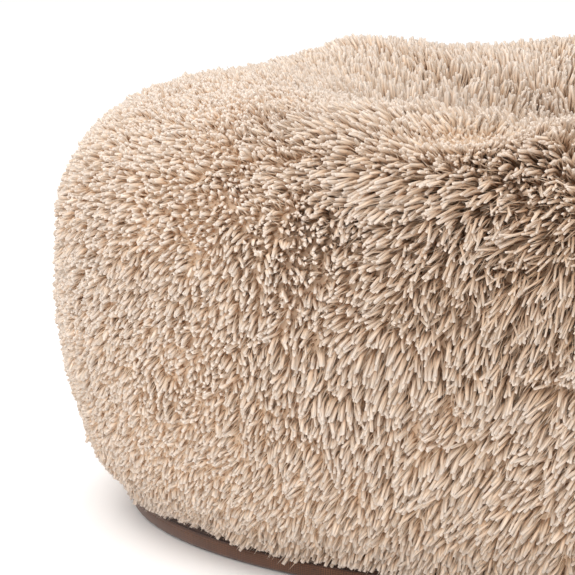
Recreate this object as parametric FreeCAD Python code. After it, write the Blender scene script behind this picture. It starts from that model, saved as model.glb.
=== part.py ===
import FreeCAD, Part
import math
import os

# Round pet bed: a long-pile fur cover over a fibre-filled rim, a cushion sunk inside the rim,
# and a brown fabric base that opens with a zip. Millimetres, +Z up. The origin is on the floor
# under the bed's centre, and the front is towards -Y.

# ---- driving dimensions -------------------------------------------------------------------
bed_diameter = 600.0  # over the tips of the pile
bed_height = 196.0  # floor to the pile tips on the crown
rim_width = 178.0  # of the rim's section, over the pile
rim_widest_z = 125.0  # height at which the rim's section is widest
pile = 26.0  # depth of the fur cover, backing to tips
rim_lower_power = 0.6  # squareness of the lower half of the rim's section; 1 is an ellipse
fill_lower_power = 0.45  # the same for the liner and the fill, which sit square on the base
hem_z = 11.0  # height of the fur's lower edge over the floor

nest_top_z = 84.0  # pile tips of the cushion in the nest
nest_pile = 24.0  # depth of the fur on the cushion
pad_clearance = 2.0  # between the cushion and the inside of the rim's fur
pad_edge_round = 14.0  # rounding of the cushion's edges

base_inset = 36.0  # the brown base's edge lies this far in from the pile's tips
base_fabric = 1.6  # thickness of the base fabric with its backing
base_wadding = 8.0  # thickness of the padding laid on the base fabric
gusset_bulge = 1.2  # how far the base's side band swells outwards at mid height

liner = 1.2  # thickness of the non-woven liners
gap = 0.3  # clearance between soft pieces that lie on each other

zip_y = 70.0  # distance of the zip behind the bed's centre
zip_length = 380.0  # between the stops
zip_slot_width = 14.0  # opening in the base fabric that bares the zip
pull_room = 3.8  # how far the opening runs on past the pull when the zip is open
tape_width = 13.0
tape_thickness = 0.6
tape_z = 5.4  # underside of the tapes over the floor
coil_width = 1.6
coil_height = 1.4
coil_spacing = 2.8  # clear distance between the two coils, where the slider's post runs
slider_length = 11.0
slider_width = 10.4
slider_plate = 0.8
slider_corner = 2.0  # rounding of the plates' corners
slider_clearance = 0.3  # between the slider and the tapes, coils and stops
post_width = 2.0
pull_length = 24.0
pull_width = 6.0
pull_thickness = 0.8
pull_corner = 1.5  # rounding of the tongue's corners
pull_hole_radius = 1.5  # of the hole near the tongue's end
pull_hole_inset = 4.5  # its centre, from the tongue's end
pin_radius = 0.55
pin_clearance = 0.08
eye_wall = 0.45
pull_axis_z = 1.7  # height of the pull's hinge axis over the floor
stop_length = 3.0

# ---- sizes worked out from them -----------------------------------------------------------
rim_centre_r = (bed_diameter - rim_width) / 2
rim_half = rim_width / 2
crown_half = bed_height - rim_widest_z
base_radius = bed_diameter / 2 - base_inset
base_top = base_fabric + gap + base_wadding
nest_radius = rim_centre_r - rim_half - 2 * gap
nest_seam_z = nest_top_z - nest_pile
pad_radius = rim_centre_r - rim_half + pile - pad_clearance
zip_end = zip_length / 2
closed_x = zip_end - slider_length / 2 - slider_clearance  # the slider's middle with the zip shut
slot_end = closed_x + pull_length + pull_room  # half the length of the opening over the zip
SECTION_POINTS = 13  # points on each quarter of a section
PANELS = ("back_right", "back_left", "front_left", "front_right")  # of the fur cover, round from +X


# ---- the rim's section --------------------------------------------------------------------
def quarter(half_width, half_height, power, side, up, low_limit=None):
    """Points (r, z) of one quarter of the rim's section, from its widest point up or down.

    r is rim_centre_r + side * half_width * cos(t)**power and z is rim_widest_z + up * half_height *
    sin(t)**power. The quarter stops at the height low_limit where one is given.
    """
    t_end = math.pi / 2
    if low_limit is not None:
        share = (rim_widest_z - low_limit) / half_height
        t_end = math.asin(share ** (1 / power))
    points = []
    for i in range(SECTION_POINTS):
        # closer together near both ends, where the section turns fastest
        t = t_end * (1 - math.cos(math.pi * i / (SECTION_POINTS - 1))) / 2
        across = math.cos(t) if t < math.pi / 2 else 0.0
        r = rim_centre_r + side * half_width * across**power
        z = rim_widest_z + up * half_height * math.sin(t) ** power
        points.append((r, z))
    return points


def half_section(inset, bottom_z, power, side, low_limit=None):
    """Points of one side of the section, from its bottom (or low_limit) up to its crown."""
    half_width = rim_half - inset
    lower = quarter(half_width, rim_widest_z - bottom_z, power, side, -1, low_limit)
    upper = quarter(half_width, crown_half - inset, 1.0, side, 1)
    return lower[::-1] + upper[1:]


def curve(points):
    """A smooth edge through (r, z) points in the XZ plane."""
    spline = Part.BSplineCurve()
    spline.interpolate([FreeCAD.Vector(r, 0, z) for r, z in points])
    return spline.toShape()


def line(start, end):
    """A straight edge between two (r, z) points in the XZ plane."""
    return Part.makeLine(FreeCAD.Vector(start[0], 0, start[1]), FreeCAD.Vector(end[0], 0, end[1]))


def turned(edges, start_deg=0.0, sweep_deg=360.0):
    """The solid that a closed outline in the XZ plane makes when it turns about Z."""
    face = Part.Face(Part.Wire(edges))
    face.rotate(FreeCAD.Vector(0, 0, 0), FreeCAD.Vector(0, 0, 1), start_deg)
    return face.revolve(FreeCAD.Vector(0, 0, 0), FreeCAD.Vector(0, 0, 1), sweep_deg)


def shell_outline(outer, inner):
    """A closed outline between two open curves that run side by side."""
    return [
        curve(outer),
        line(outer[-1], inner[-1]),
        curve(inner[::-1]),
        line(inner[0], outer[0]),
    ]


# ---- rim ----------------------------------------------------------------------------------
def rim_fur(side, low_z, start_deg):
    """One panel of the outer wall (side 1) or inner wall (side -1) of the fur cover, backing and
    pile, from the azimuth start_deg on."""
    outer = half_section(0.0, 0.0, rim_lower_power, side, low_z)
    inner = half_section(pile, base_top + gap, fill_lower_power, side, low_z)
    return turned(shell_outline(outer, inner), start_deg, 360.0 / len(PANELS))


def rim_liner(side):
    """One side of the rim's non-woven liner, from its bottom seam to its crown seam."""
    outer = half_section(pile + gap, base_top + gap, fill_lower_power, side)
    inner = half_section(pile + gap + liner, base_top + gap + liner, fill_lower_power, side)
    return turned(shell_outline(outer, inner))


def rim_fill():
    """The ring of fibre that fills the liner."""
    inset = pile + liner + 2 * gap
    bottom_z = base_top + liner + 2 * gap
    outer = half_section(inset, bottom_z, fill_lower_power, 1)
    inner = half_section(inset, bottom_z, fill_lower_power, -1)
    return turned([curve(outer), curve(inner[::-1])])


# ---- cushion in the nest ------------------------------------------------------------------
def rounded_disc(radius, low_z, high_z, rounding):
    """A disc with its two edges rounded."""
    disc = Part.makeCylinder(radius, high_z - low_z, FreeCAD.Vector(0, 0, low_z))
    limit = 0.45 * (high_z - low_z)
    rims = [e for e in disc.Edges if isinstance(e.Curve, Part.Circle)]
    return disc.makeFillet(min(rounding, limit), rims)


def nest_fur():
    """The fur disc on top of the cushion, rounded where its pile meets the rim's."""
    disc = Part.makeCylinder(nest_radius, nest_pile, FreeCAD.Vector(0, 0, nest_seam_z))
    top = [e for e in disc.Edges if abs(e.BoundBox.ZMin - nest_top_z) < 1e-6]
    return disc.makeFillet(nest_pile / 3, top)


def pad_layers():
    """The cushion's liner in two halves and the fibre pad inside it."""
    low_z = base_top + gap
    high_z = nest_seam_z - gap
    inside = liner + gap
    outer = rounded_disc(pad_radius, low_z, high_z, pad_edge_round)
    hollow = rounded_disc(pad_radius - liner, low_z + liner, high_z - liner, pad_edge_round - liner)
    fill = rounded_disc(pad_radius - inside, low_z + inside, high_z - inside, pad_edge_round - inside)
    skin = outer.cut(hollow)
    reach = 2 * pad_radius
    middle = (low_z + high_z) / 2
    below = Part.makeBox(2 * reach, 2 * reach, reach, FreeCAD.Vector(-reach, -reach, middle - reach))
    above = Part.makeBox(2 * reach, 2 * reach, reach, FreeCAD.Vector(-reach, -reach, middle))
    return skin.common(above), skin.common(below), fill


# ---- base ---------------------------------------------------------------------------------
def base_panel(side):
    """The base fabric in front of (side -1) or behind (side 1) the opening over the zip."""
    reach = 2 * base_radius
    edge_y = zip_y + side * (zip_slot_width / 2 + base_fabric)
    y_low = edge_y - reach if side < 0 else edge_y
    keep = Part.makeBox(2 * reach, reach, base_fabric, FreeCAD.Vector(-reach, y_low, 0))
    return Part.makeCylinder(base_radius, base_fabric).common(keep)


def zip_facing(side):
    """The turned-up strip along one side of the opening, which carries the zip tape."""
    inner_y = zip_y + side * zip_slot_width / 2
    y_low = min(inner_y, inner_y + side * base_fabric)
    return Part.makeBox(2 * slot_end, base_fabric, tape_z, FreeCAD.Vector(-slot_end, y_low, 0))


def zip_end_tab(side):
    """The flat fabric between one end of the opening (side 1 at +X) and the base's edge."""
    half_width = zip_slot_width / 2 + base_fabric
    x_low = slot_end if side > 0 else -slot_end - base_radius
    corner = FreeCAD.Vector(x_low, zip_y - half_width, 0)
    strip = Part.makeBox(base_radius, 2 * half_width, base_fabric, corner)
    return Part.makeCylinder(base_radius, base_fabric).common(strip)


def base_padding():
    """The wadding on the base fabric, with a channel over the zip."""
    low_z = base_fabric + gap
    radius = base_radius - base_fabric - gusset_bulge - gap
    disc = Part.makeCylinder(radius, base_wadding, FreeCAD.Vector(0, 0, low_z))
    half_length = slot_end + base_fabric + gap
    half_width = coil_spacing / 2 + tape_width + coil_width
    corner = FreeCAD.Vector(-half_length, zip_y - half_width, low_z - 1)
    depth = base_wadding - base_fabric + 1
    return disc.cut(Part.makeBox(2 * half_length, 2 * half_width, depth, corner))


def gusset():
    """The base's side band, bowed outwards between the base fabric and the fur's hem."""
    low_z = base_fabric
    high_z = hem_z - gap
    outer_r = base_radius - gusset_bulge
    inner_r = outer_r - base_fabric
    middle = FreeCAD.Vector(base_radius, 0, (low_z + high_z) / 2)
    bow = Part.Arc(FreeCAD.Vector(outer_r, 0, low_z), middle, FreeCAD.Vector(outer_r, 0, high_z))
    edges = [
        bow.toShape(),
        line((outer_r, high_z), (inner_r, high_z)),
        line((inner_r, high_z), (inner_r, low_z)),
        line((inner_r, low_z), (outer_r, low_z)),
    ]
    return turned(edges)


# ---- zip ----------------------------------------------------------------------------------
tape_edge = coil_spacing / 2 + coil_width / 2  # distance of a tape's inner edge from the zip line
coil_z = tape_z - coil_height  # coils are sewn under the tapes
slider_low = coil_z - slider_clearance - slider_plate
slider_high = tape_z + tape_thickness + slider_clearance + slider_plate
pin_x = closed_x  # the pull hinges under the middle of the slider


def zip_tape(side):
    """One zip tape, flat on the turned-up edge of its base panel."""
    length = 2 * slot_end
    y_low = zip_y + tape_edge if side > 0 else zip_y - tape_edge - tape_width
    return Part.makeBox(length, tape_width, tape_thickness, FreeCAD.Vector(-length / 2, y_low, tape_z))


def zip_coil(side):
    """One row of coil, the nylon rod with its rounded flank sewn under the tape's inner edge."""
    y_low = coil_spacing / 2 if side > 0 else -coil_spacing / 2 - coil_width
    corner = FreeCAD.Vector(-zip_end, zip_y + y_low, coil_z)
    bar = Part.makeBox(zip_length, coil_width, coil_height, corner)
    rim = [e for e in bar.Edges if e.Length > zip_length - 1 and e.BoundBox.ZMax < coil_z + 0.1]
    return bar.makeFillet(coil_height / 4, rim)


def zip_stop(x, bridge):
    """The metal stops at one end: one on each coil, or one bridge across both."""
    reach = coil_spacing / 2 + coil_width
    corner = FreeCAD.Vector(x, zip_y - reach, coil_z)
    block = Part.makeBox(stop_length, 2 * reach, coil_height, corner)
    if bridge:
        return block
    way = FreeCAD.Vector(x - 1, zip_y - coil_spacing / 2, coil_z - 1)
    return block.cut(Part.makeBox(stop_length + 2, coil_spacing, coil_height + 2, way))


def slider():
    """The slider: two plates joined by a post between the coils, a rail along each side that
    holds a coil, and two lugs with the pin that the pull hangs on."""
    x_low = closed_x - slider_length / 2
    y_low = zip_y - slider_width / 2
    size = (slider_length, slider_width, slider_plate)
    lower = Part.makeBox(*size, FreeCAD.Vector(x_low, y_low, slider_low))
    upper = Part.makeBox(*size, FreeCAD.Vector(x_low, y_low, slider_high - slider_plate))
    corners = [e for e in lower.Edges if abs(e.Length - slider_plate) < 1e-6]
    lower = lower.makeFillet(slider_corner, corners)
    corners = [e for e in upper.Edges if abs(e.Length - slider_plate) < 1e-6]
    upper = upper.makeFillet(slider_corner, corners)
    post_length = slider_length / 3
    post_x = closed_x + slider_length / 2 - post_length
    post_corner = FreeCAD.Vector(post_x, zip_y - post_width / 2, slider_low)
    post = Part.makeBox(post_length, post_width, slider_high - slider_low, post_corner)
    body = lower.fuse(upper).fuse(post)
    rail_in = coil_spacing / 2 + coil_width + slider_clearance
    rail_width = slider_width / 2 - rail_in
    rail_height = tape_z - slider_clearance - slider_low
    rail_length = slider_length - 2 * slider_corner
    for y in (zip_y + rail_in, zip_y - slider_width / 2):
        rail_corner = FreeCAD.Vector(x_low + slider_corner, y, slider_low)
        body = body.fuse(Part.makeBox(rail_length, rail_width, rail_height, rail_corner))
    lug_width = slider_plate
    lug_in = pull_width / 4 + slider_clearance
    lug_half = 2 * pin_radius
    lug_height = slider_low + slider_plate / 2 - pull_axis_z
    for y in (zip_y + lug_in, zip_y - lug_in - lug_width):
        lug_corner = FreeCAD.Vector(pin_x - lug_half, y, pull_axis_z)
        lug = Part.makeBox(2 * lug_half, lug_width, lug_height, lug_corner)
        end = FreeCAD.Vector(pin_x, y, pull_axis_z)
        lug = lug.fuse(Part.makeCylinder(lug_half, lug_width, end, FreeCAD.Vector(0, 1, 0)))
        body = body.fuse(lug)
    pin_start = FreeCAD.Vector(pin_x, zip_y - lug_in - lug_width, pull_axis_z)
    pin_length = 2 * (lug_in + lug_width)
    body = body.fuse(Part.makeCylinder(pin_radius, pin_length, pin_start, FreeCAD.Vector(0, 1, 0)))
    return body.removeSplitter()


def pull():
    """The pull tab: a flat tongue with a waist and a rolled eye on the slider's pin."""
    hole = pin_radius + pin_clearance
    eye_radius = hole + eye_wall
    eye_width = pull_width / 2
    eye_start = FreeCAD.Vector(pin_x, zip_y - eye_width / 2, pull_axis_z)
    eye = Part.makeCylinder(eye_radius, eye_width, eye_start, FreeCAD.Vector(0, 1, 0))
    z_low = pull_axis_z - pull_thickness / 2
    waist_length = slider_length / 2 + 1.0
    waist_corner = FreeCAD.Vector(pin_x - waist_length, zip_y - eye_width / 2, z_low)
    waist = Part.makeBox(waist_length, eye_width, pull_thickness, waist_corner)
    tongue_length = pull_length - waist_length + 0.5
    tongue_corner = FreeCAD.Vector(pin_x - pull_length, zip_y - pull_width / 2, z_low)
    tongue = Part.makeBox(tongue_length, pull_width, pull_thickness, tongue_corner)
    corners = [e for e in tongue.Edges if abs(e.Length - pull_thickness) < 1e-6]
    tongue = tongue.makeFillet(pull_corner, corners)
    hole_start = FreeCAD.Vector(pin_x - pull_length + pull_hole_inset, zip_y, z_low - 1)
    tongue = tongue.cut(Part.makeCylinder(pull_hole_radius, pull_thickness + 2, hole_start))
    body = eye.fuse(waist).fuse(tongue)
    bore_start = FreeCAD.Vector(pin_x, zip_y - pull_width, pull_axis_z)
    bore = Part.makeCylinder(hole, 2 * pull_width, bore_start, FreeCAD.Vector(0, 1, 0))
    return body.cut(bore).removeSplitter()


# ---- the assembly -------------------------------------------------------------------------
def build():
    """All nodes by name."""
    nodes = {}
    for number, panel in enumerate(PANELS):
        start_deg = 360.0 * number / len(PANELS)
        nodes["rim_fur_outer_" + panel] = rim_fur(1, hem_z, start_deg)
        nodes["rim_fur_inner_" + panel] = rim_fur(-1, nest_seam_z, start_deg)
    nodes["rim_liner_outer"] = rim_liner(1)
    nodes["rim_liner_inner"] = rim_liner(-1)
    nodes["rim_fill"] = rim_fill()
    nodes["nest_fur"] = nest_fur()
    nodes["pad_liner_top"], nodes["pad_liner_bottom"], nodes["pad_fill"] = pad_layers()
    nodes["base_gusset"] = gusset()
    nodes["base_padding"] = base_padding()
    for end, side in (("front", -1), ("back", 1)):
        nodes["base_panel_" + end] = base_panel(side)
        nodes["zip_facing_" + end] = zip_facing(side)
        nodes["zip_tape_" + end] = zip_tape(side)
        nodes["zip_coil_" + end] = zip_coil(side)
    nodes["zip_end_tab_left"] = zip_end_tab(-1)
    nodes["zip_end_tab_right"] = zip_end_tab(1)
    nodes["zip_top_stops"] = zip_stop(zip_end, False)
    nodes["zip_bottom_stop"] = zip_stop(-zip_end - stop_length, True)
    nodes["zip_slider"] = slider()
    nodes["zip_pull"] = pull()
    return nodes


os.makedirs("parts", exist_ok=True)
for name, shape in build().items():
    if not shape.isValid():
        raise ValueError("not a valid shape: " + name)
    shape.exportStep("parts/" + name + ".step")
    box = shape.BoundBox
    volume = shape.Volume / 1000
    print(f"{name:26} {len(shape.Solids)} solids {volume:9.1f} cm3  z {box.ZMin:.2f}..{box.ZMax:.2f}")
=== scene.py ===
import math

import bpy
import numpy as np
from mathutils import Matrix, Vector


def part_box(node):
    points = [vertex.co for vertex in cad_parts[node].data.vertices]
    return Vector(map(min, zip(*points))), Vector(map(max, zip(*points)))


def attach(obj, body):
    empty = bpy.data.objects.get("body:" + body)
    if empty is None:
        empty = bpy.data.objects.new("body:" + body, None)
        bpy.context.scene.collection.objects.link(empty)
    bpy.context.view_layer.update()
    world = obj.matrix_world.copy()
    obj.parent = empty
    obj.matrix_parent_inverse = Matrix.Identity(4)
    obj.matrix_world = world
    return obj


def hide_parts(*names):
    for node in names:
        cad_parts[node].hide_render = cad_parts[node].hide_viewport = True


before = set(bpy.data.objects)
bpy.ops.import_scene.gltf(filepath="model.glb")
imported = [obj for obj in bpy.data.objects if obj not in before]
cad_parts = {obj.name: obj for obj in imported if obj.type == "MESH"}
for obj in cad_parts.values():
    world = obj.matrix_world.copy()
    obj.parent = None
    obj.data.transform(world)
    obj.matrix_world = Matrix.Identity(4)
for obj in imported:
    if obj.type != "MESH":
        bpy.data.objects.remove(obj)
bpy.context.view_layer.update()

MM = 0.001

# ---- sizes, from the frame ------------------------------------------------------------------
OUTER_LOW, OUTER_HIGH = (np.array(c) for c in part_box("rim_fur_outer_back_right"))
INNER_LOW, INNER_HIGH = (np.array(c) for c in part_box("rim_fur_inner_back_right"))
LINER_LOW, LINER_HIGH = (np.array(c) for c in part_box("rim_liner_outer"))
NEST_LOW, NEST_HIGH = (np.array(c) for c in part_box("nest_fur"))
BED_R = OUTER_HIGH[0]  # bed's radius over the pile
BED_H = OUTER_HIGH[2]  # bed's height over the pile
CROWN_R = INNER_HIGH[0]  # radius of the rim's crown line
RIM_HALF = BED_R - CROWN_R
HEM_Z = OUTER_LOW[2]
SEAM_Z = INNER_LOW[2]  # where the inner wall's fur meets the cushion's
PILE = BED_H - LINER_HIGH[2]  # depth of the pile and its backing
FLOOR_SIDE = LINER_LOW[2]  # underside of the rim over the floor
WIDEST_Z = 0.64 * BED_H  # height at which the rim is widest
NEST_R = NEST_HIGH[0]

TAU = 2 * math.pi


# ---- small tools ----------------------------------------------------------------------------
def linear(hex_colour):
    """An sRGB hex colour as linear RGBA."""
    parts = [int(hex_colour[i : i + 2], 16) / 255 for i in (0, 2, 4)]
    return [c / 12.92 if c <= 0.04045 else ((c + 0.055) / 1.055) ** 2.4 for c in parts] + [1.0]


def node(tree, kind, settings=None, **links):
    """Adds a node. settings are its properties; links are inputs by name, each a socket or a
    value. _0 is the input numbered 0."""
    made = tree.nodes.new(kind)
    for key, value in (settings or {}).items():
        setattr(made, key, value)
    for key, value in links.items():
        name = int(key[1:]) if key[0] == "_" and key[1:].isdigit() else key.replace("_", " ")
        socket = made.inputs[name]
        if isinstance(value, bpy.types.NodeSocket):
            tree.links.new(value, socket)
        else:
            socket.default_value = value
    return made


def material(name, **constant):
    """A new material: its node tree and its shader, with constant values set on the shader."""
    made = bpy.data.materials.new(name)
    made.use_nodes = True
    shader = made.node_tree.nodes["Principled BSDF"]
    for key, value in constant.items():
        shader.inputs[key.replace("_", " ")].default_value = value
    return made, made.node_tree, shader


def mesh_piece(name, points, faces, finish, smooth=True):
    """A mesh object at the origin from arrays of points and of faces with equal corner counts."""
    mesh = bpy.data.meshes.new(name)
    faces = np.asarray(faces, np.int32)
    corners = faces.shape[1]
    mesh.vertices.add(len(points))
    mesh.vertices.foreach_set("co", np.asarray(points, np.float32).ravel())
    mesh.loops.add(faces.size)
    mesh.loops.foreach_set("vertex_index", faces.ravel())
    mesh.polygons.add(len(faces))
    mesh.polygons.foreach_set("loop_start", np.arange(len(faces), dtype=np.int32) * corners)
    mesh.polygons.foreach_set("use_smooth", np.full(len(faces), smooth))
    mesh.update(calc_edges=True)
    mesh.materials.append(finish)
    piece = bpy.data.objects.new(name, mesh)
    bpy.context.scene.collection.objects.link(piece)
    return piece


# ---- the rim's section ----------------------------------------------------------------------
def section(inset, low_z, lower_power, start_z, end_z, count):
    """Points (r, z) and outward normals along the rim's section, evenly spaced by length.

    The section is a half ellipse over its widest line and a squared half ellipse under it, drawn
    in from the pile's tips by inset. It runs from start_z on the outside, over the crown, to end_z
    on the inside.
    """
    a = RIM_HALF - inset
    up = BED_H - WIDEST_Z - inset
    down = WIDEST_Z - low_z
    first = math.asin(min(((WIDEST_Z - start_z) / down) ** (1 / lower_power), 1.0))
    last = math.asin(min(((WIDEST_Z - end_z) / down) ** (1 / lower_power), 1.0))
    t = np.linspace(-first, math.pi + last, 4001)
    power = np.where(np.sin(t) > 0, 1.0, lower_power)
    r = CROWN_R + a * np.sign(np.cos(t)) * np.abs(np.cos(t)) ** power
    rise = np.where(np.sin(t) > 0, up, down)
    z = WIDEST_Z + rise * np.sign(np.sin(t)) * np.abs(np.sin(t)) ** power
    length = np.concatenate([[0], np.cumsum(np.hypot(np.diff(r), np.diff(z)))])
    at = np.linspace(0, length[-1], count)
    r, z = np.interp(at, length, r), np.interp(at, length, z)
    dr, dz = np.gradient(r), np.gradient(z)
    size = np.hypot(dr, dz)
    return r, z, dz / size, -dr / size, at


# ---- seeded patterns over the rim -----------------------------------------------------------
def hashed(*keys):
    """A number from 0 to 1 for each row of whole numbers, the same on every run."""
    mixed = np.zeros(np.broadcast(*keys).shape, np.uint64)
    for key, prime in zip(keys, (73856093, 19349663, 83492791, 2654435761)):
        mixed ^= (np.asarray(key, np.int64) + 100003).astype(np.uint64) * np.uint64(prime)
        mixed ^= mixed >> np.uint64(15)
        mixed *= np.uint64(0x9E3779B97F4A7C15)
        mixed ^= mixed >> np.uint64(32)
    return (mixed & np.uint64(0xFFFFFF)).astype(np.float64) / 0xFFFFFF


def cells(x, y, size, around, seed):
    """The nearest of a jittered grid of centres to each point: its two indices and its offset
    from the point. x wraps after `around` grid steps."""
    gx, gy = x / size, y / size
    ix, iy = np.floor(gx), np.floor(gy)
    best = np.full(len(gx), np.inf)
    found = np.zeros((4, len(gx)))
    for ox in (-1, 0, 1):
        for oy in (-1, 0, 1):
            cx, cy = ix + ox, iy + oy
            kx = np.mod(cx, around)
            dx = cx + 0.15 + 0.7 * hashed(kx, cy, seed) - gx
            dy = cy + 0.15 + 0.7 * hashed(kx, cy, seed + 1) - gy
            d = dx * dx + dy * dy
            closer = d < best
            found = np.where(closer, np.stack([kx, cy, dx * size, dy * size]), found)
            best = np.where(closer, d, best)
    return found


def waves(x, y, size, around, seed):
    """Smooth noise from -1 to 1 over a grid of that size, with x wrapping after `around` steps."""
    gx, gy = x / size, y / size
    ix, iy = np.floor(gx), np.floor(gy)
    fx, fy = gx - ix, gy - iy
    fx, fy = fx * fx * (3 - 2 * fx), fy * fy * (3 - 2 * fy)
    value = 0.0
    for ox, wx in ((0, 1 - fx), (1, fx)):
        for oy, wy in ((0, 1 - fy), (1, fy)):
            value = value + wx * wy * hashed(np.mod(ix + ox, around), iy + oy, seed)
    return 2 * value - 1


# ---- fur ------------------------------------------------------------------------------------
TONE_ROWS = 32  # strips on the fur's map, in two columns
BENT = ((0.0, 0.55, 1.0), (0.9, 1.0, 0.75))  # a tuft's rings and their share of its width
STRAIGHT = ((0.0, 1.0), (1.0, 0.0))  # and a loose fibre's, which ends in a point
PANELS = ("back_right", "back_left", "front_left", "front_right")  # of the fur cover, round from +X
ROOT_SHARE = 0.48  # of the pile's depth at which its dense underfur ends
ROOT_INSET = ROOT_SHARE * PILE
ROOT_LOW = ROOT_SHARE * FLOOR_SIDE
ROOT_POWER = 0.6 - 0.15 * ROOT_SHARE
R_S, Z_S, NR_S, NZ_S, AT_S = section(ROOT_INSET, ROOT_LOW, ROOT_POWER, HEM_Z, SEAM_Z, 600)
S_LENGTH = AT_S[-1]
CROWN_S = float(np.interp(0, -NR_S, AT_S))  # length along the section at which the crown is
AROUND = TAU * CROWN_R

WIDE = 1000  # more grid steps than the cushion is across, so no pattern on it wraps
ROOT_DEPTH = 2 * MM  # how far a strand starts inside the underfur

# Places on the rim: azimuth in degrees, mm past the crown (outer wall negative), reach in mm.
PITS = [  # where the cover is gathered: the surface dips and the pile spreads from it
    (-115.6, -15, 44), (-38, 10, 45), (31, -6, 45), (88, 12, 42),
]
WHORLS = [  # where the pile parts and spreads
    (-118.6, -38, 30), (-62, -60, 60), (-12, -40, 60), (24, -86, 60), (62, -56, 55),
    (123, 42, 30), (108, -72, 60), (140, -50, 55), (-84, -150, 50), (5, -138, 55), (80, -130, 55),
]
SWAYS = [  # (azimuth, mm past the crown, reach, lean): where the pile leans round the rim
    (-152, -100, 110, 0.55), (-125, -92, 85, 0.45), (-98, -165, 62, -0.38), (-140, 20, 70, -0.25),
    (-30, -110, 90, 0.3), (30, -100, 90, -0.3), (90, -110, 90, 0.3), (150, -100, 90, -0.3),
]
BULGES = [  # (azimuth, mm past the crown, reach, mm outwards): where the filling stands proud
    (-96, -8, 70, 4.0), (-150, -30, 80, 3.0), (-60, -20, 75, 4.0), (60, 0, 80, 4.0),
    (143, 0, 45, 6.5),
]
CALM = [  # where the pile stands close and straight, ends out
    (-158, -100, 125), (-50, -112, 70), (62, -118, 75), (145, -112, 70), (-8, -64, 50),
]
TUFTED = [  # where the pile hangs in separate locks with deep gaps between them
    (-103, -92, 42), (-137, -25, 20), (-70, -84, 50), (-20, -95, 45), (45, -84, 50),
    (120, -96, 45), (160, -70, 40),
]


def turn_to(phi, centre_deg):
    """The azimuth from a place to each point, in radians from -pi to pi."""
    return (phi - math.radians(centre_deg) + math.pi) % TAU - math.pi


def near(phi, s, place, share=1.0):
    """A bell of 1 at a place on the rim that fades over share of its reach."""
    across = turn_to(phi, place[0]) * CROWN_R / MM
    along = (s - CROWN_S) / MM - place[1]
    return np.exp(-(across**2 + along**2) / (share * place[2]) ** 2)


def around_places(phi, s, places, boost=1.0):
    """The sum of the bells at some places, from 0 to 1."""
    total = 0.0
    for place in places:
        total = total + boost * near(phi, s, place)
    return np.clip(total, 0, 1)


def lumps(phi, s):
    """How far the underfur lies out from its plain section: uneven filling, bulges and pits."""
    x = (phi % TAU) * CROWN_R
    swell = 2.8 * waves(x, s, AROUND / 14, 14, 3) + 2.0 * waves(x, s, AROUND / 33, 33, 4)
    for place in BULGES:
        swell = swell + place[3] * near(phi, s, place, 0.85)
    for place in PITS:
        swell = swell - 4.0 * near(phi, s, place, 0.55)
    swell = swell - 3.0 * around_places(phi, s, TUFTED) + 6.0 * around_places(phi, s, CALM, 1.5)
    ends = np.clip(np.minimum(s, S_LENGTH - s) / (30 * MM), 0, 1)
    return np.clip(swell, -12, 12) * MM * ends


def rim_surface(phi, s):
    """Points and unit directions of the underfur: outward, round the rim, along the section.

    A point is the plain section turned to azimuth phi, pushed out along its normal by lumps."""
    r, z = np.interp(s, AT_S, R_S), np.interp(s, AT_S, Z_S)
    nr, nz = np.interp(s, AT_S, NR_S), np.interp(s, AT_S, NZ_S)
    size = np.hypot(nr, nz)
    nr, nz = nr / size, nz / size
    out = lumps(phi, s)
    c, sn = np.cos(phi), np.sin(phi)
    r, z = r + nr * out, z + nz * out
    step = 2 * MM
    slope_x = (lumps(phi + step / CROWN_R, s) - out) / step
    slope_s = (lumps(phi, s + step) - out) / step
    normal = np.stack([nr * c, nr * sn, nz], -1)
    around = np.stack([-sn, c, 0 * c], -1)
    along = np.stack([-nz * c, -nz * sn, nr], -1)
    normal = unit(normal - around * slope_x[:, None] - along * slope_s[:, None])
    return np.stack([r * c, r * sn, z], -1), normal, around, along


def rows_of_roots(spacing, line_r, line_s, seed):
    """Root places in rows: each row goes once round at its own radius, every root a little off
    its even place. Returns azimuths and lengths along the section."""
    rng = np.random.default_rng(seed)
    counts = np.maximum(np.round(TAU * line_r / spacing).astype(int), 1)
    row = np.repeat(np.arange(len(counts)), counts)
    place = np.arange(len(row)) - np.repeat(np.cumsum(counts) - counts, counts)
    phi = (place + rng.uniform(-0.45, 0.45, len(row)) + 0.5 * (row % 2)) / counts[row] * TAU
    s = line_s[row] + rng.uniform(-0.45, 0.45, len(row)) * spacing
    return phi % TAU, s


def unit(v):
    """Each vector at length 1."""
    return v / np.maximum(np.linalg.norm(v, axis=-1, keepdims=True), 1e-12)


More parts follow.
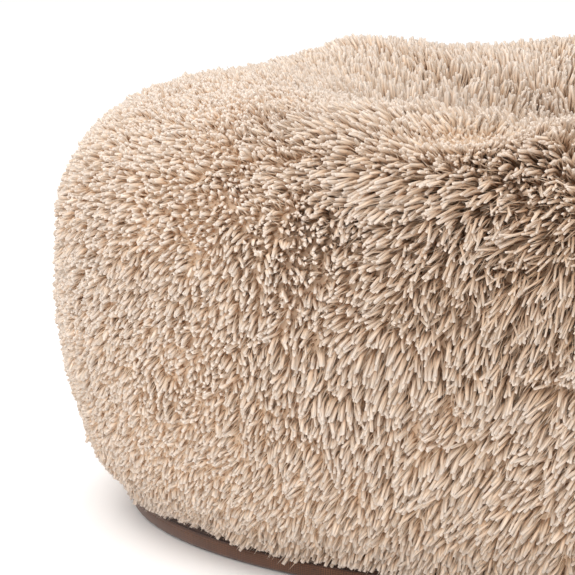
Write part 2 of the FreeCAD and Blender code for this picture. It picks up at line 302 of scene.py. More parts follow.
def strands(name, root, first, last, length, width, tone, crimp, shape, seed):
    """One mesh of many strands of pile. Each strand is a three-sided rod along a bent line: it
    leaves its root along `first`, ends along `last` and sways to the side by `crimp` at each ring
    between. Its rings are `width` times the shape's shares, and its end is cut off blunt, or is a
    point where the last share is 0. Its line is the quadratic curve
    (1 - t)^2 root + 2 t (1 - t) middle + t^2 tip. Its map runs up the strand and round it, in its
    tone's strip."""
    rings, swell = shape
    count = len(root)
    rng = np.random.default_rng(seed)
    middle = root + first * (0.5 * length)[:, None]
    tip = middle + last * (0.5 * length)[:, None]
    t = np.array(rings)[None, :, None]
    line = (1 - t) ** 2 * root[:, None] + 2 * t * (1 - t) * middle[:, None] + t**2 * tip[:, None]
    ahead = unit((1 - t) * (middle - root)[:, None] + t * (tip - middle)[:, None])
    side = unit(np.cross(last, first) + 1e-4 * np.array([1.0, 0.3, 0.2]))
    side = unit(side[:, None] - ahead * np.sum(side[:, None] * ahead, -1, keepdims=True))
    other = np.cross(ahead, side)
    sway = crimp[:, None, None] * rng.uniform(-1, 1, (count, len(rings), 2))
    sway[:, 0] = 0
    line = line + sway[..., :1] * side + sway[..., 1:] * other
    roll = rng.uniform(0, TAU, count)[:, None] + np.arange(3)[None, :] * TAU / 3
    half = (width[:, None] * np.array(swell)[None, :])[:, :, None, None]
    ring = (
        line[:, :, None]
        + half * np.cos(roll)[:, None, :, None] * side[:, :, None]
        + half * np.sin(roll)[:, None, :, None] * other[:, :, None]
    )
    pointed = swell[-1] == 0
    last_ring = ring[:, -1, :1] if pointed else ring[:, -1]
    ring = np.concatenate([ring[:, :-1].reshape(count, -1, 3), last_ring], 1)
    corners = ring.shape[1]
    base = (np.arange(count) * corners)[:, None]
    faces, places = [base + [2, 1, 0]], [[(0.0, 0.1), (0.0, 0.9), (0.06, 0.5)]]
    if not pointed:
        faces.append(base + [corners - 3, corners - 2, corners - 1])
        places.append([(0.97, 0.1), (0.97, 0.9), (1.0, 0.5)])
    for i in range(3):
        j = (i + 1) % 3
        v0, v1 = (i + 0.08) / 3, (i + 0.92) / 3
        for k in range(len(rings) - 1):
            low, high, a, b = 3 * k, 3 * k + 3, rings[k], rings[k + 1]
            if pointed and k == len(rings) - 2:
                faces.append(base + [low + i, low + j, high])
                places.append([(a, v0), (a, v1), (b, (v0 + v1) / 2)])
            else:
                faces += [base + [low + i, low + j, high + j], base + [low + i, high + j, high + i]]
                places += [[(a, v0), (a, v1), (b, v1)], [(a, v0), (b, v1), (b, v0)]]
    faces = np.stack(faces, 1).reshape(-1, 3)
    places = np.array(places)[None]
    strip = np.floor(tone * (2 * TONE_ROWS - 1e-6))
    column, row = np.floor(strip / TONE_ROWS), strip % TONE_ROWS
    u = (column[:, None, None] + 0.02 + 0.96 * places[..., 0]) / 2
    v = (row[:, None, None] + 0.04 + 0.92 * places[..., 1]) / TONE_ROWS
    piece = mesh_piece(name, ring.reshape(-1, 3), faces, PILE_FINISH)
    layer = piece.data.uv_layers.new(name="OFBake")
    layer.uv.foreach_set("vector", np.stack([u, v], -1).astype(np.float32).ravel())
    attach(piece, "bed")
    return piece


def pile_finish():
    """Long polyester pile: tan where it leaves the underfur, cream at its cut ends. The darker root
    is partly the fibre's dye and partly painted shade of the pile's depth. Each tuft is a bundle of
    fine fibres.
    The colour is read from the strand's own map, up its length."""
    made, tree, shader = material(
        "long_polyester_pile", Roughness=0.75, Specular_IOR_Level=0.15, Sheen_Weight=0.15,
        Sheen_Roughness=0.5, Sheen_Tint=linear("fff2e4"),
    )
    place = node(tree, "ShaderNodeUVMap", {"uv_map": "OFBake"})
    split = node(tree, "ShaderNodeSeparateXYZ", Vector=place.outputs[0])
    twice = node(tree, "ShaderNodeMath", {"operation": "MULTIPLY"}, _0=split.outputs[0], _1=2.0)
    column = node(tree, "ShaderNodeMath", {"operation": "FLOOR"}, _0=twice.outputs[0])
    up = node(tree, "ShaderNodeMath", {"operation": "SUBTRACT"}, _0=twice.outputs[0],
              _1=column.outputs[0])
    rows = node(tree, "ShaderNodeMath", {"operation": "MULTIPLY"}, _0=split.outputs[1],
                _1=float(TONE_ROWS))
    row = node(tree, "ShaderNodeMath", {"operation": "FLOOR"}, _0=rows.outputs[0])
    strip = node(tree, "ShaderNodeMath", {"operation": "MULTIPLY_ADD"}, _0=column.outputs[0],
                 _1=float(TONE_ROWS), _2=row.outputs[0])
    tone = node(tree, "ShaderNodeMath", {"operation": "DIVIDE"}, _0=strip.outputs[0],
                _1=2.0 * TONE_ROWS - 1)
    warm = ramp(tree, up.outputs[0], PILE_WARM)
    cream = ramp(tree, up.outputs[0], PILE_CREAM)
    colour = mix(tree, tone.outputs[0], warm, cream)
    # fibres: fine lines up the strand, a dozen to a strip
    lines = node(tree, "ShaderNodeCombineXYZ", X=up.outputs[0], Y=rows.outputs[0],
                 Z=strip.outputs[0])
    fine = node(tree, "ShaderNodeMapping", {"vector_type": "POINT"}, Vector=lines.outputs[0],
                Scale=(1.2, 9.0, 3.7))
    fibre = node(tree, "ShaderNodeTexNoise", Vector=fine.outputs[0], Scale=1.0, Detail=2.0)
    light = node(tree, "ShaderNodeMapRange", Value=fibre.outputs[0], _1=0.38, _2=0.62, _3=0.74,
                 _4=1.08)
    colour = mix(tree, 1.0, colour, light.outputs[0], "MULTIPLY")
    tree.links.new(colour, shader.inputs["Base Color"])
    return made


def ramp(tree, amount, stops):
    """A colour that follows amount through (place, hex colour) stops."""
    made = node(tree, "ShaderNodeValToRGB", Fac=amount)
    elements = made.color_ramp.elements
    while len(elements) < len(stops):
        elements.new(0.5)
    for element, (at, colour) in zip(elements, stops):
        element.position = at
        element.color = linear(colour)
    return made.outputs[0]


def mix(tree, amount, first, second, blend="MIX"):
    """Two colours mixed by amount; each is a socket or a hex colour."""
    made = node(tree, "ShaderNodeMix", {"data_type": "RGBA", "blend_type": blend}, _0=amount)
    for place, value in ((6, first), (7, second)):
        if isinstance(value, str):
            made.inputs[place].default_value = linear(value)
        else:
            tree.links.new(value, made.inputs[place])
    return made.outputs[2]


# Colours up a strand from root to cut end. Darker towards the root: partly the fibre's dye, partly
# painted shade of the pile's depth.
PILE_WARM = [
    (0.0, "aa7f57"), (0.3, "c0956d"), (0.6, "cdaa88"), (0.85, "dabda0"), (1.0, "e6d4c4"),
]
PILE_CREAM = [
    (0.0, "e2c3a2"), (0.3, "e5caac"), (0.6, "e8d0b9"), (0.85, "e9d7c6"), (1.0, "ebddd1"),
]


def underfur_finish():
    """Dense underfur on its knitted backing: matt brown fibre ends, seen where the pile parts.
    Where the pile parts in locks and round pits it is a darker brown: painted shade of the deep
    gaps there.
    """
    made, tree, shader = material("dense_underfur", Roughness=0.9, Specular_IOR_Level=0.1)
    place = node(tree, "ShaderNodeTexCoord")
    fluff = node(tree, "ShaderNodeTexNoise", Vector=place.outputs["Object"], Scale=1 / (1.5 * MM),
                 Detail=3.0)
    dense = ramp(tree, fluff.outputs[0], [(0.3, "ccae91"), (0.7, "e0c8b0")])
    # painted shade: the darker brown laid where the pile parts, for the deep gaps between locks
    thin = ramp(tree, fluff.outputs[0], [(0.3, "74543a"), (0.7, "aa8462")])
    parted = node(tree, "ShaderNodeAttribute", {"attribute_name": "parted"})
    colour = mix(tree, parted.outputs["Fac"], dense, thin)
    tree.links.new(colour, shader.inputs["Base Color"])
    return made


PILE_FINISH = pile_finish()
UNDERFUR = underfur_finish()


def flow(phi, s):
    """How the pile leans at each root, as parts round the rim and along the section.

    It runs up the inner wall, over the crown and down the outer wall, sways in slow waves, spreads
    away from each pit and whorl, and differs from patch to patch where the pile has parted."""
    x = (phi % TAU) * CROWN_R
    calm = around_places(phi, s, CALM, 1.5)
    round_part = -0.08 + 0.22 * waves(x, s, AROUND / 12, 12, 21)
    round_part = round_part + 0.2 * waves(x, s, AROUND / 30, 30, 22)
    along_part = -0.78 + 0.22 * waves(x, s, AROUND / 16, 16, 23)
    round_part, along_part = round_part * (1 - 0.6 * calm), along_part * (1 - 0.4 * calm)
    for place in SWAYS:
        round_part = round_part + place[3] * near(phi, s, place)
    for places, push, kept in ((PITS, 0.85, 0.2), (WHORLS, 0.4, 0.6)):
        for place in places:
            across = turn_to(phi, place[0]) * CROWN_R / MM
            along = (s - CROWN_S) / MM - place[1]
            away = np.hypot(across, along) + 1e-6
            hold = near(phi, s, place)
            spread = push * hold * np.minimum(away / (0.3 * place[2]), 1.0)
            round_part = round_part * (1 - (1 - kept) * hold) + spread * across / away
            along_part = along_part * (1 - (1 - kept) * hold) + spread * along / away
    for size, strength, pull, seed in ((28, 0.20, 0.22, 31), (60, 0.20, 0.16, 35)):
        cx, cy, dx, dy = cells(x, s, AROUND / size, size, seed)
        rough = (1 - 0.5 * calm) * size / AROUND
        round_part = round_part + pull * dx * rough + strength * (2 * hashed(cx, cy, seed + 7) - 1)
        along_part = along_part + pull * dy * rough + strength * (2 * hashed(cx, cy, seed + 8) - 1)
    return round_part, along_part


def leaning(phi, s, seed, jitter):
    """Where strands root and how they lean: (root, first, last, length, tone, apart).

    Strands gather in tufts of a few and clumps of a few tufts, which lean their own way. The
    height over the underfur in mm is 13, more in locks and round pits, less in pits, on the crown,
    in calm places and towards the floor. A strand is sqrt(1 + 0.8 lean^2) times its height long.
    apart is 1 where the pile hangs in separate locks."""
    s = np.clip(s, 0, S_LENGTH)
    root, normal, around, along = rim_surface(phi, s)
    lean_x, lean_s = flow(phi, s)
    apart = around_places(phi, s, TUFTED)
    rng = np.random.default_rng(seed)
    count = len(phi)
    x = phi * CROWN_R
    scale = np.interp(s, AT_S, R_S) / CROWN_R
    lean_x = lean_x + jitter * rng.standard_normal(count)
    lean_s = lean_s + jitter * rng.standard_normal(count) - 0.25 * apart
    pull_x, pull_s, shade, reach = 0.0, 0.0, 0.0, 1.0
    gather = 1 + 0.6 * apart
    for around_n, sway, pull, mark in ((330, 0.12, 0.7, 41), (130, 0.16, 0.26, 45)):
        cx, cy, dx, dy = cells(x, s, AROUND / around_n, around_n, mark)
        lean_x = lean_x + sway * (2 * hashed(cx, cy, mark + 5) - 1)
        lean_s = lean_s + sway * (2 * hashed(cx, cy, mark + 6) - 1)
        pull_x, pull_s = pull_x + pull * gather * dx * scale, pull_s + pull * gather * dy
        shade = shade + 0.22 * (hashed(cx, cy, mark + 8) - 0.5)
        reach = reach * (1 + 0.10 * (2 * hashed(cx, cy, mark + 7) - 1))
    # holes where a few tufts have sunk or parted
    hole = 0.0
    for around_n, size, chance, mark in ((40, 4.0, 0.22, 61), (105, 3.6, 0.75 * apart, 65)):
        cx, cy, dx, dy = cells(x, s, AROUND / around_n, around_n, mark)
        depth = np.exp(-((dx * scale) ** 2 + dy**2) / (size * MM) ** 2)
        hole = np.maximum(hole, depth * (hashed(cx, cy, mark + 3) < chance))
    reach = reach * (1 - 0.6 * hole)
    low = np.clip(1 - root[:, 2] / (112 * MM), 0, 1)  # 0 above the lower wall, 1 on the floor
    low = np.where(s < CROWN_S, low, 0.0)
    dip = around_places(phi, s, PITS)
    calm = around_places(phi, s, CALM, 1.5)
    crown = np.clip(1 - np.abs(s - CROWN_S) / (75 * MM), 0, 1)
    ring = 4 * dip * (1 - dip)  # 1 around a pit, where the pile lies long and flat
    height = 13.0 + 3.0 * apart - 5.5 * dip - 3.8 * crown - 6.0 * calm + 3.0 * ring
    height = height * (1 - 0.55 * low**0.75) * reach
    height = height * rng.uniform(0.88, 1.08, count)
    lean_x, lean_s = lean_x * (1 + 0.8 * ring), lean_s * (1 + 0.8 * ring)
    slope = around * lean_x[:, None] + along * lean_s[:, None]
    lean = np.hypot(lean_x, lean_s)
    length = height * np.sqrt(1 + 0.8 * lean**2) * MM
    first = unit(normal + 0.35 * slope)
    last = unit(normal * 0.8 + 1.15 * slope)
    pull = pull_x[:, None] * around + pull_s[:, None] * along
    last = unit(last * (0.5 * length)[:, None] + pull * 0.7)
    first = unit(first * (0.5 * length)[:, None] + pull * 0.25)
    hem = np.clip(1.2 - s / (12 * MM), 0, 1)  # pile at the hem turns down over the base's edge
    outward = np.stack([np.cos(phi), np.sin(phi), -0.35 + 0 * phi], -1)
    first = unit(first * (1 - hem)[:, None] + outward * hem[:, None])
    last = unit(last * (1 - hem)[:, None] + (outward + [0, 0, -0.75]) * hem[:, None])
    length = length * (1 + 0.35 * hem)
    tone = 0.62 + shade + 0.12 * waves(x, s, AROUND / 40, 40, 51) + 0.3 * (rng.random(count) - 0.5)
    # painted light and shade in the strands' tone: paler in calm places, painted light where the
    # key light falls; darker in holes and in locks, painted shade of the deep gaps there; darker
    # round the pits
    tone = tone + 0.25 * calm - 0.4 * hole - 0.15 * apart - 0.15 * dip**2
    return root - ROOT_DEPTH * first, first, last, length, np.clip(tone, 0, 1), apart


def rim_pile():
    """The pile on the rim, in sectors of its outer and inner walls: stout tufts in rows over the
    whole section, and finer loose fibres between them."""
    kinds = (
        ("tufts", 2.8, 0.09, (0.85, 1.25), 1.3, BENT, 5, 1.0),
        ("fibres", 2.1, 0.2, (0.5, 0.85), 0.0, STRAIGHT, 9, 1.05),
    )
    for kind, spacing, jitter, widths, crimp, shape, seed, share in kinds:
        line_s = np.arange(spacing / 2, S_LENGTH / MM, spacing * 0.94) * MM
        phi, s = rows_of_roots(spacing * MM, np.interp(line_s, AT_S, R_S), line_s, seed)
        root, first, last, length, tone, apart = leaning(phi, s, seed + 1, jitter)
        rng = np.random.default_rng(seed + 2)
        width = rng.uniform(*widths, len(phi)) * (1 - 0.3 * apart) * MM
        sway = crimp * (0.4 + apart) * MM * np.ones(len(phi))
        for wall, parts in (("outer", 8), ("inner", 4)):
            mine = (s > CROWN_S) == (wall == "inner")
            sector = np.floor(phi / TAU * parts)
            for k in range(parts):
                keep = mine & (sector == k)
                piece = strands(
                    f"rim_{kind}_{wall}_{k + 1}", root[keep], first[keep], last[keep],
                    share * length[keep], width[keep], tone[keep], sway[keep], shape,
                    60 + k + seed,
                )
                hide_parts(f"rim_fur_{wall}_{PANELS[k * len(PANELS) // parts]}")


def rim_underfur():
    """The underfur: the lumpy section turned once round, closed across its underside."""
    around_n, along_n = 320, 126
    phi = np.arange(around_n) / around_n * TAU
    s = np.linspace(0, S_LENGTH, along_n)
    grid_phi, grid_s = np.meshgrid(phi, s, indexing="ij")
    points, *_ = rim_surface(grid_phi.ravel(), grid_s.ravel())
    i = np.arange(around_n)[:, None]
    j = np.arange(along_n)[None, :]
    a, b = i, (i + 1) % around_n
    c, d = j, (j + 1) % along_n
    faces = np.stack([a * along_n + c, b * along_n + c, b * along_n + d, a * along_n + d], -1)
    piece = mesh_piece("rim_underfur", points, faces.reshape(-1, 4), UNDERFUR)
    # painted shade: how much of the darker underfur to lay, strongest in the locks and round the
    # pits
    parted = np.clip(
        0.6 * around_places(grid_phi.ravel(), grid_s.ravel(), TUFTED)
        + 0.4 * around_places(grid_phi.ravel(), grid_s.ravel(), PITS) ** 3, 0, 1
    )
    shade = piece.data.attributes.new("parted", "FLOAT", "POINT")
    shade.data.foreach_set("value", parted.astype(np.float32))
    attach(piece, "bed")


rim_underfur()
rim_pile()


NEST_CLUMPS = (  # (mm across, how far each leans, how far it gathers its strands, seed)
    (24, 0.3, 0.0, 81), (9, 0.2, 0.45, 86), (4.2, 0.2, 0.7, 90),
)


def nest_pile():
    """The cushion's pile: tufts and loose fibres on a gently crowned disc, leaning outwards from
    its middle."""
    kinds = (
        ("tufts", 3.0, 0.10, (0.95, 1.3), 0.5, BENT, 15),
        ("fibres", 2.2, 0.22, (0.5, 0.8), 0.0, STRAIGHT, 19),
    )
    for kind, spacing, jitter, widths, crimp, shape, seed in kinds:
        line_r = np.arange(spacing / 2, NEST_R / MM - 1.5, spacing * 0.94) * MM
        phi, r = rows_of_roots(spacing * MM, line_r, line_r, seed)
        r = np.clip(r, 0, NEST_R - 1 * MM)
        rng = np.random.default_rng(seed + 1)
        count = len(phi)
        c, sn = np.cos(phi), np.sin(phi)
        x, y = r * c, r * sn
        root = np.stack([x, y, nest_height(r)], -1)
        outward = np.stack([c, sn, 0 * c], -1)
        around = np.stack([-sn, c, 0 * c], -1)
        sway = 0.5 * waves(x + 0.5, y + 0.5, 60 * MM, WIDE, 83)
        reach = np.clip(r / (60 * MM), 0, 1)
        slope = outward * (0.5 * reach)[:, None] + around * sway[:, None]
        slope[:, :2] += jitter * rng.standard_normal((count, 2))
        pull = np.zeros((count, 3))
        shade = 0.4 * (rng.random(count) - 0.5)
        for size, strength, draw, mark in NEST_CLUMPS:
            kx, ky, dx, dy = cells(x + 0.5, y + 0.5, size * MM, WIDE, mark)
            slope[:, 0] += strength * (2 * hashed(kx, ky, mark + 1) - 1)
            slope[:, 1] += strength * (2 * hashed(kx, ky, mark + 2) - 1)
            pull[:, 0] += draw * dx
            pull[:, 1] += draw * dy
            shade = shade + 0.15 * (hashed(kx, ky, mark + 3) - 0.5)
        edge_in = np.clip((NEST_R - r) / (15 * MM), 0.3, 1)
        length = 15 * MM * rng.uniform(0.85, 1.1, count)
        normal = np.array([0, 0, 1.0])
        first = unit(normal + 0.35 * slope)
        last = unit(normal * 0.8 + 1.15 * slope * edge_in[:, None])
        last = unit(last * (0.5 * length)[:, None] + 0.7 * pull)
        width = rng.uniform(*widths, count) * MM
        piece = strands(
            "nest_" + kind, root - ROOT_DEPTH * first, first, last, length, width,
            np.clip(0.5 + shade, 0, 1), np.full(count, crimp * MM), shape, seed + 2,
        )
        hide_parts("nest_fur")


def nest_height(r):
    """Height of the cushion's backing: crowned in the middle, lower at its edge."""
    crown = 1 - (r / NEST_R) ** 2
    return NEST_LOW[2] + (8.0 + 5.0 * crown) * MM


def nest_underfur():
    """The cushion's underfur: a crowned disc closed by a flat underside."""
    rings, around_n = 40, 160
    r = np.linspace(0, NEST_R, rings + 1)[1:]
    phi = np.arange(around_n) / around_n * TAU
    grid_r, grid_phi = np.meshgrid(r, phi, indexing="ij")
    x, y = grid_r * np.cos(grid_phi), grid_r * np.sin(grid_phi)
    top = np.stack([x, y, nest_height(grid_r)], -1).reshape(-1, 3)
    under = np.stack([x[-1], y[-1], np.full(around_n, NEST_LOW[2])], -1)
    ends = np.array([[0, 0, float(nest_height(0.0))], [0, 0, NEST_LOW[2]]])
    points = np.concatenate([top, under, ends])
    k = np.arange(around_n)
    n = (k + 1) % around_n
    apex, foot = len(points) - 2, len(points) - 1
    faces = [np.stack([k, n, n, np.full_like(k, apex)], -1)[:, [0, 1, 3]]]
    for i in range(rings):
        a, b = i * around_n, (i + 1) * around_n
        faces.append(np.stack([a + k, b + k, b + n], -1))
        faces.append(np.stack([a + k, b + n, a + n], -1))
    last = rings * around_n
    faces.append(np.stack([last + n, last + k, np.full_like(k, foot)], -1))
    piece = mesh_piece("nest_underfur", points, np.concatenate(faces), UNDERFUR)
    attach(piece, "bed")


nest_underfur()
nest_pile()


# ---- base, zip and inside -------------------------------------------------------------------
def threads(tree, place, spacing):
    """A plain weave from 0 to 1 on any face square to an axis: the mean of three waves, each
    across one axis with a thread in each spacing. A band texture repeats TAU / 20 / Scale apart."""
    total = None
    for axis in ("X", "Y", "Z"):
        wave = node(tree, "ShaderNodeTexWave", {"wave_type": "BANDS", "bands_direction": axis},
                    Vector=place, Scale=TAU / (20 * spacing), Distortion=0.4, Detail=1.0)
        if total is None:
            total = wave.outputs["Fac"]
        else:
            total = node(tree, "ShaderNodeMath", {"operation": "ADD"}, _0=total,
                         _1=wave.outputs["Fac"]).outputs[0]
    return node(tree, "ShaderNodeMath", {"operation": "DIVIDE"}, _0=total, _1=3.0).outputs[0]


def finish(name, colours, grain, height, rough, weave=False, **constant):
    """A cloth, fibre or plastic: its colour runs through the stops by a pattern with that grain in
    metres, which also raises it by height and changes its roughness between the two given."""
    made, tree, shader = material(name, **constant)
    place = node(tree, "ShaderNodeTexCoord").outputs["Object"]
    cloudy = node(tree, "ShaderNodeTexNoise", Vector=place, Scale=1 / (12 * grain), Detail=4.0)
    if weave:
        pattern = threads(tree, place, grain)
    else:
        pattern = node(tree, "ShaderNodeTexNoise", Vector=place, Scale=1 / grain, Detail=5.0,
                       Roughness=0.6).outputs[0]
    both = node(tree, "ShaderNodeMath", {"operation": "MULTIPLY_ADD"}, _0=cloudy.outputs[0],
                _1=0.5, _2=pattern)
    amount = node(tree, "ShaderNodeMapRange", Value=both.outputs[0], _1=0.45, _2=1.05)
    tree.links.new(ramp(tree, amount.outputs[0], colours), shader.inputs["Base Color"])
    dull = node(tree, "ShaderNodeMapRange", Value=both.outputs[0], _1=0.45, _2=1.05, _3=rough[0],
                _4=rough[1])
    tree.links.new(dull.outputs[0], shader.inputs["Roughness"])
    bump = node(tree, "ShaderNodeBump", Height=pattern, Distance=height, Strength=0.7)
    tree.links.new(bump.outputs[0], shader.inputs["Normal"])
    return made


# Oxford cloth of dull brown polyester, whose square weave shows as a fine grid.
OXFORD = finish(
    "woven_polyester_oxford", [(0.0, "1d120c"), (0.5, "35221a"), (1.0, "4b3226")], 1.1 * MM,
    0.12 * MM, (0.8, 0.95), weave=True, Specular_IOR_Level=0.25, Sheen_Weight=0.15,
)
# Bias binding of the same yarn, smoother and a little redder than the cloth it folds over.
BINDING = finish(
    "polyester_bias_binding", [(0.0, "3a2418"), (0.5, "5a3a29"), (1.0, "704b36")], 0.8 * MM,
    0.08 * MM, (0.65, 0.85), weave=True, Specular_IOR_Level=0.3, Sheen_Weight=0.2,
)
# Zip tape: tight warp-knitted ribbon, finer and flatter than the base cloth.
TAPE = finish(
    "woven_zip_tape", [(0.0, "23160f"), (0.5, "3a261b"), (1.0, "523728")], 0.7 * MM, 0.06 * MM,
    (0.7, 0.85), weave=True, Specular_IOR_Level=0.3,
)
# Sewing thread: twisted spun polyester with a slight shine, lighter than the cloth.
THREAD = finish(
    "spun_polyester_thread", [(0.0, "4a3122"), (1.0, "80593f")], 0.4 * MM, 0.05 * MM, (0.5, 0.7),
    Specular_IOR_Level=0.4,
)
# Zip coils: drawn nylon rod, smooth and shiny.
COIL = finish(
    "drawn_nylon_coil", [(0.0, "2a1b12"), (1.0, "493020")], 1.5 * MM, 0.01 * MM, (0.28, 0.42),
    Coat_Weight=0.1,
)
# Zip slider, pull and stops: die-cast zinc under a bronze lacquer, scuffed to patches of sheen.
LACQUERED_ZINC = finish(
    "lacquered_cast_zinc", [(0.0, "4e3a28"), (0.6, "6d523a"), (1.0, "9a7c5c")], 1.8 * MM,
    0.015 * MM, (0.3, 0.5), Metallic=1.0,
)
# Spunbonded polypropylene lining: thin white felt of fused filaments, slightly mottled.
SPUNBOND = finish(
    "spunbonded_polypropylene", [(0.0, "cfcac2"), (1.0, "f0ece5")], 0.9 * MM, 0.08 * MM,
    (0.8, 0.95), Specular_IOR_Level=0.3,
)
# Loose filling: crimped siliconised polyester fibre, white and woolly.
FIBRE_FILL = finish(
    "crimped_polyester_filling", [(0.0, "d6d2cb"), (1.0, "f7f5f0")], 1.4 * MM, 0.4 * MM,
    (0.85, 1.0), Specular_IOR_Level=0.2,
)
# Needled polyester wadding: denser and greyer than the loose filling.
WADDING = finish(
    "needled_polyester_wadding", [(0.0, "c5c0b8"), (1.0, "e8e4dd")], 2.2 * MM, 0.3 * MM,
    (0.85, 1.0), Specular_IOR_Level=0.2,
)
FINISHES = (
    (OXFORD, (
        "base_gusset", "base_panel_front", "base_panel_back", "zip_facing_front",
        "zip_facing_back", "zip_end_tab_left", "zip_end_tab_right",
    )),
    (TAPE, ("zip_tape_front", "zip_tape_back")),
    (COIL, ("zip_coil_front", "zip_coil_back")),
    (LACQUERED_ZINC, ("zip_top_stops", "zip_bottom_stop", "zip_slider", "zip_pull")),
    (SPUNBOND, ("rim_liner_outer", "rim_liner_inner", "pad_liner_top", "pad_liner_bottom")),
    (FIBRE_FILL, ("rim_fill", "pad_fill")),
    (WADDING, ("base_padding",)),
)
for made, names in FINISHES:
    for name in names:
        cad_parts[name].material_slots[0].material = made


def tube(line, side, up, section_side, section_up, closed=False):
    """Points and faces of a section carried along a line. At each place of the line the section's
    corners lie section_side along side and section_up along up. The ends are closed by fans, or
    joined to each other."""
    count, corners = len(line), len(section_side)
    points = line[:, None] + side[:, None] * section_side[None, :, None]
    points = (points + up[:, None] * section_up[None, :, None]).reshape(-1, 3)
    i = np.arange(count if closed else count - 1)[:, None]
    k = np.arange(corners)[None, :]
    a, b = i * corners, (i + 1) % count * corners
    n = (k + 1) % corners
    first = np.stack([a + k, b + k, b + n], -1).reshape(-1, 3)
    second = np.stack([a + k, b + n, a + n], -1).reshape(-1, 3)
    faces = [first, second]
    if not closed:
        k = np.arange(1, corners - 1)
        last = (count - 1) * corners
        faces.append(np.stack([0 * k, k, k + 1], -1))
        faces.append(np.stack([last + 0 * k, last + k + 1, last + k], -1))
    return points, np.concatenate(faces)


def ride_bed(piece):
    """Puts a new piece on the bed's body."""
    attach(piece, "bed")
    return piece


BASE_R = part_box("base_gusset")[1][0]  # radius of the base's side band


def base_binding():
    """The binding round the base's lower edge: a strip that stands 1.1 mm off the wall and 0.3 mm
    under the base, its section rounded over the corner and carried once round the base."""
    turn = np.arange(480) / 480 * TAU
    outward = np.stack([np.cos(turn), np.sin(turn), 0 * turn], -1)
    up = np.tile([0.0, 0.0, 1.0], (len(turn), 1))
    thick = 1.1 * MM
    fold = np.linspace(-math.pi / 2, 0, 5)
    under = -0.3 * MM
    side = np.concatenate([[-9 * MM, -9 * MM], 2 * MM * np.cos(fold) - 2 * MM + thick,
                           [thick, thick - 0.4 * MM, -0.5 * MM, -0.5 * MM]])
    rise = np.concatenate([[0.5 * MM, under], 2 * MM * np.sin(fold) + 2 * MM + under,
                           [5.4 * MM, 6 * MM, 6 * MM, 0.5 * MM]])
    points, faces = tube(BASE_R * outward, outward, up, side, rise, closed=True)
    ride_bed(mesh_piece("base_edge_binding", points, faces, BINDING))


def stitches(name, middles, ahead, outward, length, thick):
    """Stitches as short rods with thin ends: three rings along an arc that starts and ends in
    the cloth, each ring a diamond."""
    count = len(middles)
    t = np.linspace(-1, 1, 3)
    across = np.cross(outward, ahead)
    line = middles[:, None] + ahead[:, None] * (0.5 * length * t)[None, :, None]
    line = line + outward[:, None] * (thick * (0.55 - 0.9 * t**2))[None, :, None]
    size = thick * np.array([0.4, 1.0, 0.4]) / 2
    ways = np.stack([across, outward, -across, -outward], 1)
    points = line[:, :, None] + ways[:, None] * size[None, :, None, None]
    base = (np.arange(count) * 12)[:, None]
    faces = [base + [3, 2, 1, 0], base + [8, 9, 10, 11]]
    for ring in range(2):
        for k in range(4):
            n, low = (k + 1) % 4, 4 * ring
            faces.append(base + [low + k, low + n, low + 4 + n, low + 4 + k])
    faces = np.stack(faces, 1).reshape(-1, 4)
    return ride_bed(mesh_piece(name, points.reshape(-1, 3), faces, THREAD))


def base_stitches():
    """Rows of stitches: one on the binding's wall and one under it, round the base."""
    turn = np.arange(0, TAU, TAU / round(TAU * BASE_R / (3.6 * MM)))
    outward = np.stack([np.cos(turn), np.sin(turn), 0 * turn], -1)
    around = np.stack([-np.sin(turn), np.cos(turn), 0 * turn], -1)
    down = np.tile([0.0, 0.0, -1.0], (len(turn), 1))
    wall = outward * (BASE_R + 1.0 * MM) + [0, 0, 4.6 * MM]
    stitches("binding_wall_stitches", wall, around, outward, 2.6 * MM, 0.5 * MM)
    under = outward * (BASE_R - 7 * MM) - [0, 0, 0.3 * MM]
    stitches("binding_under_stitches", under, around, down, 2.6 * MM, 0.4 * MM)


def zip_stitches():
    """A straight row of stitches beside the zip on each base panel."""
    tape_low, tape_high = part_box("zip_tape_front")
    zip_line = (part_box("zip_tape_back")[0][1] + tape_high[1]) / 2
    x = np.arange(tape_low[0], tape_high[0], 3.4 * MM)
    ahead = np.tile([1.0, 0.0, 0.0], (len(x), 1))
    down = np.tile([0.0, 0.0, -1.0], (len(x), 1))
    for end, side in (("front", -1), ("back", 1)):
        middles = np.stack([x, 0 * x + zip_line + side * 9.5 * MM, 0 * x], -1)
        stitches(f"zip_stitches_{end}", middles, ahead, down, 2.4 * MM, 0.3 * MM)


def zip_coils():
    """Each row of coil: a rod wound in an oval helix within the CAD bar's box. At angle t it is
    at cos t across the bar and sin t up it, and turn_length further on after each turn."""
    rod, turn_length, steps = 0.27 * MM, 1.45 * MM, 9
    for end, side in (("front", 1), ("back", -1)):
        low, high = (np.array(c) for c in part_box(f"zip_coil_{end}"))
        turns = round((high[0] - low[0] - 2 * rod) / turn_length)
        t = np.linspace(0, turns * TAU, turns * steps + 1)
        centre, half = (low + high) / 2, (high - low) / 2 - rod
        x = low[0] + rod + (high[0] - low[0] - 2 * rod) * t / t[-1]
        y = centre[1] + side * half[1] * np.cos(t)
        line = np.stack([x, y, centre[2] + half[2] * np.sin(t)], -1)
        ahead = unit(np.gradient(line, axis=0))
        outward = np.stack([0 * t, side * np.cos(t), np.sin(t)], -1)
        outward = unit(outward - ahead * np.sum(outward * ahead, -1, keepdims=True))
        across = np.cross(ahead, outward)
        corner = np.arange(4) * TAU / 4
        points, faces = tube(line, outward, across, rod * np.cos(corner), rod * np.sin(corner))
        piece = mesh_piece(f"wound_coil_{end}", points, faces[:, ::-1], COIL)
        ride_bed(piece)
        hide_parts(f"zip_coil_{end}")


base_binding()
base_stitches()
zip_stitches()
zip_coils()


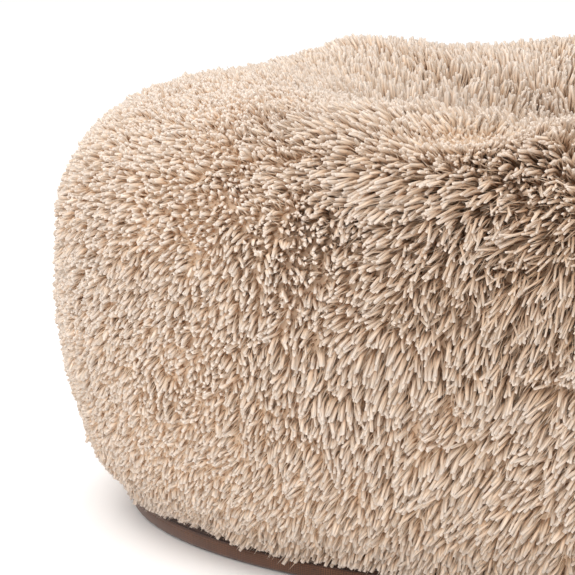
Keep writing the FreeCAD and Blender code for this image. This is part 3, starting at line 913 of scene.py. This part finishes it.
# ---- stage, light and camera ----------------------------------------------------------------
FLOOR_DROP = 0.6 * MM  # the floor lies under the binding and its stitches, which stand proud
CAMERA_PLACE = (0, -1.8, 0.343)
CAMERA_LENS = 247.5  # mm, on a sensor 36 mm wide
CAMERA_YAW, CAMERA_PITCH = -0.1078, -0.1378  # radians from +Y towards +X, and up


def floor():
    """A plain white floor."""
    made, _, shader = material("white_floor", Roughness=0.9, Specular_IOR_Level=0.0)
    shader.inputs["Base Color"].default_value = linear("fbfbfb")
    half = 6.0
    corners = [[-half, -half, 0], [half, -half, 0], [half, half, 0], [-half, half, 0]]
    points = np.array(corners) - [0, 0, FLOOR_DROP]
    piece = mesh_piece("floor", points, [[0, 1, 2, 3]], made, smooth=False)


def area_light(name, place, target, size, watts):
    """A white round light of that size in metres at a place, turned to a target."""
    data = bpy.data.lights.new(name, "AREA")
    data.shape = "DISK"
    data.size = size
    data.energy = watts
    made = bpy.data.objects.new(name, data)
    made.location = place
    made.rotation_mode = "QUATERNION"
    made.rotation_quaternion = (Vector(target) - Vector(place)).to_track_quat("-Z", "Y")
    bpy.context.scene.collection.objects.link(made)


def studio():
    """A white room: an even white surround, a large key light behind on the left, a weak fill."""
    world = bpy.data.worlds.new("white_room")
    world.use_nodes = True
    world.node_tree.nodes["Background"].inputs[0].default_value = (1, 1, 1, 1)
    world.node_tree.nodes["Background"].inputs[1].default_value = 1.0
    bpy.context.scene.world = world
    area_light("key", (-1.1, 0.1, 2.1), (-0.1, 0, 0.1), 2.2, 30)
    area_light("fill", (-0.3, -2.5, 0.9), (0, 0, 0.1), 1.8, 18)
    bpy.context.scene.view_settings.view_transform = "Standard"
    bpy.context.scene.cycles.diffuse_bounces = 10  # light reaches far down between the strands


def camera():
    """A long lens a little above the rim, aimed at the left of the bed."""
    data = bpy.data.cameras.new("camera")
    data.sensor_width = 36
    data.lens = CAMERA_LENS
    data.dof.use_dof = False
    data.clip_start, data.clip_end = 0.05, 50
    made = bpy.data.objects.new("camera", data)
    level = math.cos(CAMERA_PITCH)
    ahead = Vector((
        math.sin(CAMERA_YAW) * level, math.cos(CAMERA_YAW) * level, math.sin(CAMERA_PITCH),
    ))
    made.location = CAMERA_PLACE
    made.rotation_mode = "QUATERNION"
    made.rotation_quaternion = ahead.to_track_quat("-Z", "Y")
    bpy.context.scene.collection.objects.link(made)
    bpy.context.scene.camera = made


floor()
studio()
camera()
